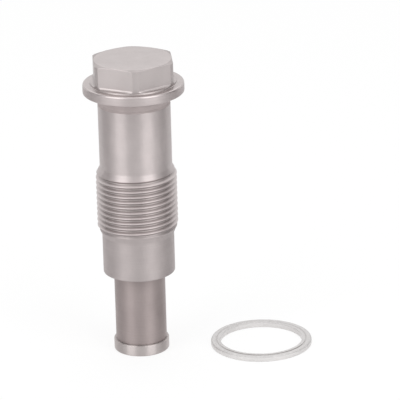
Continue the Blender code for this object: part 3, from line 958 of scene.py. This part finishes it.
class TENSIONER_OT_foot_ring(Operator):
    """Builds the bright ring on the plunger's foot"""

    bl_idname = "tensioner.foot_ring"
    bl_label = "Foot ring"

    def execute(self, context):
        sizes = context.scene.tensioner_inner
        low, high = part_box("foot_ring")
        inner = sizes.spigot + CLEARANCE
        edge = RING_EDGE
        middle = (low.z + high.z) / 2
        outline = rounded([
            (inner, middle, 0),
            (inner, high.z, edge),
            (high.x, high.z, edge),
            (high.x, low.z + RING_CHAMFER, edge),
            (high.x - RING_CHAMFER, low.z, edge),
            (inner, low.z, edge),
            (inner, middle, 0),
        ])[:-1]
        item = turned("foot_ring_body", outline, closed=True)
        place_piece(item, "foot_ring", "bright_steel", metal("bright_steel"))
        return {"FINISHED"}


class TENSIONER_OT_stop_ring(Operator):
    """Builds the open wire ring in the groove at the nose"""

    bl_idname = "tensioner.stop_ring"
    bl_label = "Stop ring"

    def execute(self, context):
        sizes = context.scene.tensioner_inner
        low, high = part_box("stop_ring")
        radius = (high.y - low.y) / 2 - sizes.stop_wire
        sweep = FULL_TURN - sizes.stop_opening
        steps = context.scene.tensioner_stage.steps
        points = []
        for index in range(steps + 1):
            turn = sizes.stop_opening / 2 + sweep * index / steps
            points.append(around((radius, 0), turn))
        item = wire("stop_ring_wire", points, sizes.stop_wire, (low.z + high.z) / 2)
        place_piece(item, "stop_ring", "spring_steel", metal("stop_ring_steel"))
        return {"FINISHED"}


class TENSIONER_OT_springs(Operator):
    """Builds the plunger spring and the small check spring"""

    bl_idname = "tensioner.springs"
    bl_label = "Springs"

    def execute(self, context):
        sizes = context.scene.tensioner_inner
        drawn = metal("spring_steel")
        close_pitch = 2 * sizes.spring_wire + SPRING_END_GAP
        springs = (
            ("plunger_spring", sizes.spring_wire, sizes.spring_turns, None, close_pitch),
            ("check_spring", sizes.check_wire, sizes.check_turns, sizes.check_top, 0),
        )
        for node, thickness, turns, top_radius, end_pitch in springs:
            low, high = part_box(node)
            radius = high.x - thickness
            height = high.z - low.z - 2 * thickness
            points = coil_points(turns, height, radius, top_radius or radius, end_pitch)
            item = wire(node + "_coil", points, thickness, low.z + thickness)
            place_piece(item, node, "spring_steel", drawn)
            shorten(item, node)
        return {"FINISHED"}


class TENSIONER_OT_volume_reducer(Operator):
    """Builds the moulded pin inside the plunger spring"""

    bl_idname = "tensioner.volume_reducer"
    bl_label = "Volume reducer"

    def execute(self, context):
        sizes = context.scene.tensioner_inner
        low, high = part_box("volume_reducer")
        edge = PLUNGER_EDGE
        shoulder = low.z + sizes.reducer_flange
        outline = rounded([
            (0, high.z, 0),
            (sizes.stem, high.z, 2 * edge),
            (sizes.stem, shoulder, edge),
            (high.x, shoulder, edge / 2),
            (high.x, low.z, edge / 2),
            (0, low.z, 0),
        ])
        item = turned("volume_reducer_pin", outline)
        floor = sizes.stem - sizes.slot_depth
        reach = high.x + CUT_MARGIN - floor
        size = (sizes.slot_width, reach, high.z - low.z + CUT_MARGIN)
        place = (0, floor + reach / 2, (low.z + high.z) / 2)
        cut(item, box_cutter("reducer_slot", size, place))
        colour = context.scene.tensioner_finish.nylon
        nylon = new_finish("reducer_nylon", colour, 0.5, 0.0)
        cloud = add_noise(nylon, NYLON_CLOUDS)
        tints = [shaded(colour, shade) for shade in NYLON_SHADES]
        dress(nylon, {
            "Base Color": add_tint(nylon, add_range(nylon, cloud, 0, 1), *tints),
            "Roughness": add_range(nylon, cloud, *NYLON_ROUGHNESS),
            "Normal": add_bump(nylon, add_noise(nylon, NYLON_GRAIN, MARK_DETAIL), NYLON_DEPTH),
        })
        place_piece(item, "volume_reducer", "reducer_nylon", nylon)
        return {"FINISHED"}


class TENSIONER_OT_check_valve(Operator):
    """Builds the valve seat, the ball's cage and the check ball"""

    bl_idname = "tensioner.check_valve"
    bl_label = "Check valve"

    def execute(self, context):
        sizes = context.scene.tensioner_inner
        self.make_seat(sizes)
        self.make_cage(sizes)
        self.make_ball(context.scene.tensioner_stage.steps // 2)
        return {"FINISHED"}

    def make_seat(self, sizes):
        low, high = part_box("valve_seat")
        edge = PLUNGER_EDGE / 3
        outline = closed_ring([
            (high.x, high.z, edge),
            (high.x, low.z, edge),
            (sizes.seat_hole + SEAT_CONE, low.z, edge),
            (sizes.seat_hole, low.z + SEAT_CONE, edge),
            (sizes.seat_hole, high.z, edge),
        ])
        item = turned("valve_seat_disc", outline, closed=True)
        place_piece(item, "valve_seat", "hardened_steel", metal("hardened_steel"))

    def make_cage(self, sizes):
        low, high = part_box("ball_cage")
        wall = CAGE_WALL
        inner = sizes.cage_inner
        floor = low.z + wall
        outline = rounded([
            (0, floor, 0),
            (inner, floor, wall / 2),
            (inner, high.z, wall),
            (high.x, high.z, wall / 4),
            (high.x, high.z - wall, wall / 4),
            (inner + wall, high.z - wall, wall / 4),
            (inner + wall, low.z, wall),
            (0, low.z, 0),
        ])
        item = turned("ball_cage_cup", outline)
        height = high.z - wall - floor - 2 * WINDOW_MARGIN
        middle = (0, 0, floor + WINDOW_MARGIN + height / 2)
        reach = 2 * (inner + wall + CUT_MARGIN)
        across = box_cutter("cage_window_x", (reach, sizes.window_width, height), middle)
        along = box_cutter("cage_window_y", (sizes.window_width, reach, height), middle)
        cut(item, across, along)
        place_piece(item, "ball_cage", "bright_steel", metal("pressed_steel"))

    def make_ball(self, steps):
        low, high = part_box("check_ball")
        size = {"u_segments": steps, "v_segments": steps // 2, "radius": (high.z - low.z) / 2}
        mesh = basic_mesh("check_ball_sphere", bmesh.ops.create_uvsphere, **size)
        item = new_object("check_ball_sphere", smoothed(mesh))
        item.location = (low + high) / 2
        place_piece(item, "check_ball", "hardened_steel", metal("ball_steel"))


class TENSIONER_OT_seal_ring(Operator):
    """Builds the rolled aluminium sealing ring that lies beside the foot"""

    bl_idname = "tensioner.seal_ring"
    bl_label = "Sealing ring"

    def execute(self, context):
        sizes = context.scene.tensioner_inner
        low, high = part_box("seal_ring")
        outer = (high.x - low.x) / 2
        inner = outer - sizes.seal_width
        top = high.z - low.z
        half = SEAM_WIDTH / 2
        seam = inner + SEAL_LIP + half
        outline = closed_ring([
            (outer, top, SEAL_TOP),
            (outer, 0, SEAL_FOOT),
            (inner, 0, SEAL_EDGE),
            (inner, top, SEAL_EDGE),
            (seam - half, top, half / 2),
            (seam, top - SEAM_DEPTH, half / 4),
            (seam + half, top, half / 2),
        ])
        centre = (low + high) / 2
        item = turned("seal_ring_body", outline, (centre.x, centre.y, low.z), closed=True)
        pale = metal("seal_aluminium")
        wall = metal("seal_wall")
        for material in (pale, wall):
            dress(material, {"Metallic": SEAL_SHEEN})
        # Painted shade along the seam's crease, strongest at the front
        add_seam_shade(pale, seam + half / 2, 2 * half)
        place_piece(item, "seal_ring", "seal_aluminium", pale, wall)
        # The walls take the lighter copy and the top the darker one: painted light and shade
        for face in item.data.polygons:
            face.material_index = int(face.center.z < top - SEAL_TOP / 2)
        return {"FINISHED"}


# Stage

def toward(bearing, elevation, distance):
    """A point round the object. Bearing zero is in front, on the -Y side."""
    flat = math.cos(elevation) * distance
    return Vector((math.sin(bearing) * flat, -math.cos(bearing) * flat, math.sin(elevation) * distance))


def aimed(item, target):
    """Turns a lamp, whose light leaves along its own -Z, to the target."""
    item.rotation_euler = (target - item.location).to_track_quat("-Z", "Y").to_euler()


def seen_white(owner, output, dim, white):
    """Gives the white shader to the camera and to reflections, and the dim one to all else."""
    path = add_node(owner, "LightPath").outputs
    seen = add_math(owner, "MAXIMUM", path["Is Camera Ray"], path["Is Glossy Ray"])
    seen = add_math(owner, "MAXIMUM", seen, path["Is Transmission Ray"])
    mix = add_node(owner, "MixShader", {"Fac": seen, 1: dim, 2: white})
    fill(owner, owner.node_tree.nodes[output].inputs["Surface"], mix.outputs["Shader"])


class TENSIONER_OT_stage(Operator):
    """Builds the floor, the grey cards, the lamps, the world and the camera"""

    bl_idname = "tensioner.stage"
    bl_label = "Stage"

    FLOOR_SHADE = 0.22
    FLOOR_GLOW = 1.03
    TOP_ELEVATION = math.radians(75)
    TOP_SPREAD = 1.7
    WHITE = (1.0, 1.0, 1.0)

    def execute(self, context):
        stage = context.scene.tensioner_stage
        self.make_floor(stage)
        self.make_world(context, stage)
        self.make_lamps(stage)
        self.make_cards(stage)
        self.make_camera(context, stage)
        context.scene.view_settings.view_transform = "Standard"
        return {"FINISHED"}

    def make_floor(self, stage):
        size = {"x_segments": 8, "y_segments": 8, "size": FLOOR_SIZE}
        floor = new_object("floor", basic_mesh("floor", bmesh.ops.create_grid, **size))
        material = bpy.data.materials.new("pale_floor")
        material.use_nodes = True
        nodes = material.node_tree.nodes
        nodes.remove(nodes["Principled BSDF"])
        matt = add_node(material, "BsdfDiffuse", {"Color": stage.floor}).outputs["BSDF"]
        glow = add_node(material, "Emission", {"Strength": self.FLOOR_GLOW}).outputs["Emission"]
        blend = add_node(material, "MixShader", {"Fac": self.FLOOR_SHADE, 1: glow, 2: matt})
        seen_white(material, "Material Output", matt, blend.outputs["Shader"])
        floor.data.materials.append(material)

    def make_world(self, context, stage):
        world = bpy.data.worlds.new("white_room")
        context.scene.world = world
        world.use_nodes = True
        sky = world.node_tree.nodes["Background"]
        fill(world, sky.inputs["Color"], self.WHITE)
        fill(world, sky.inputs["Strength"], stage.sky)
        white = add_node(world, "Background", {"Color": self.WHITE, "Strength": 1})
        shaders = (sky.outputs["Background"], white.outputs["Background"])
        seen_white(world, "World Output", *shaders)

    def make_lamps(self, stage):
        body = Vector((0, 0, stage.aim_height))
        spots = {
            "left_lamp": (stage.left_bearing, stage.lamp_elevation, stage.lamp_power, 1),
            "right_lamp": (stage.right_bearing, stage.lamp_elevation, stage.lamp_power, 1),
            "top_lamp": (math.pi, self.TOP_ELEVATION, stage.top_power, self.TOP_SPREAD),
        }
        for name, (bearing, elevation, power, spread) in spots.items():
            lamp = bpy.data.lights.new(name, "AREA")
            lamp.shape = "RECTANGLE"
            lamp.size = stage.lamp_width * spread
            lamp.size_y = stage.lamp_height * spread
            lamp.energy = power
            item = new_object(name, lamp)
            item.location = body + toward(stage.bearing + bearing, elevation, stage.lamp_distance)
            aimed(item, body)

    def make_cards(self, stage):
        for name, side, grey in (("left_card", -1, stage.left_card), ("right_card", 1, stage.right_card)):
            size = {"x_segments": 1, "y_segments": 1, "size": 0.5}
            stretch = (CARD_WIDTH, CARD_HEIGHT, 1)
            card = new_object(name, basic_mesh(name, bmesh.ops.create_grid, stretch, **size))
            material = new_finish(name, grey, 1, 0)
            dress(material, {"Specular IOR Level": 0})
            card.data.materials.append(material)
            bearing = stage.bearing + side * CARD_BEARING
            card.location = toward(bearing, 0, CARD_DISTANCE)
            aimed(card, Vector((0, 0, 0)))
            card.location.z = CARD_HEIGHT / 2
            card.visible_camera = False
            card.visible_diffuse = False
            card.visible_shadow = False

    def make_camera(self, context, stage):
        camera = bpy.data.cameras.new("camera")
        camera.lens = camera.sensor_width * stage.distance / stage.picture_width
        item = new_object("camera", camera)
        outward = toward(stage.bearing, stage.elevation, 1)
        right = Vector((math.cos(stage.bearing), math.sin(stage.bearing), 0))
        up = outward.cross(right)
        aim = Vector((0, 0, stage.aim_height)) + right * AIM_RIGHT + up * AIM_UP
        turn = Matrix((right, up, outward)).transposed()
        roll = Matrix.Rotation(stage.roll, 3, "Z")
        item.matrix_world = Matrix.Translation(aim + outward * stage.distance) @ (turn @ roll).to_4x4()
        context.scene.camera = item


# Panel and registration

OPERATORS = (
    TENSIONER_OT_stage,
    TENSIONER_OT_housing,
    TENSIONER_OT_plunger,
    TENSIONER_OT_foot_ring,
    TENSIONER_OT_stop_ring,
    TENSIONER_OT_springs,
    TENSIONER_OT_volume_reducer,
    TENSIONER_OT_check_valve,
    TENSIONER_OT_seal_ring,
)


class TENSIONER_PT_panel(Panel):
    """Lists the tensioner's pieces"""

    bl_idname = "TENSIONER_PT_panel"
    bl_label = "Timing Chain Tensioner"
    bl_space_type = "VIEW_3D"
    bl_region_type = "UI"
    bl_category = "Tensioner"

    def draw(self, context):
        column = self.layout.column()
        for operator in OPERATORS:
            column.operator(operator.bl_idname)


GROUPS = {
    "tensioner_housing": HousingSizes,
    "tensioner_inner": InnerSizes,
    "tensioner_finish": TensionerFinish,
    "tensioner_stage": StageSettings,
}


def register():
    for group in GROUPS.values():
        bpy.utils.register_class(group)
    for name, group in GROUPS.items():
        setattr(bpy.types.Scene, name, PointerProperty(type=group))
    for entry in (*OPERATORS, TENSIONER_PT_panel):
        bpy.utils.register_class(entry)


def unregister():
    for entry in (TENSIONER_PT_panel, *reversed(OPERATORS)):
        bpy.utils.unregister_class(entry)
    for name in GROUPS:
        delattr(bpy.types.Scene, name)
    for group in reversed(GROUPS.values()):
        bpy.utils.unregister_class(group)


def main():
    register()
    for operator in OPERATORS:
        getattr(bpy.ops.tensioner, operator.bl_idname.split(".")[1])()
    bpy.context.view_layer.update()


if __name__ == "__main__":
    main()
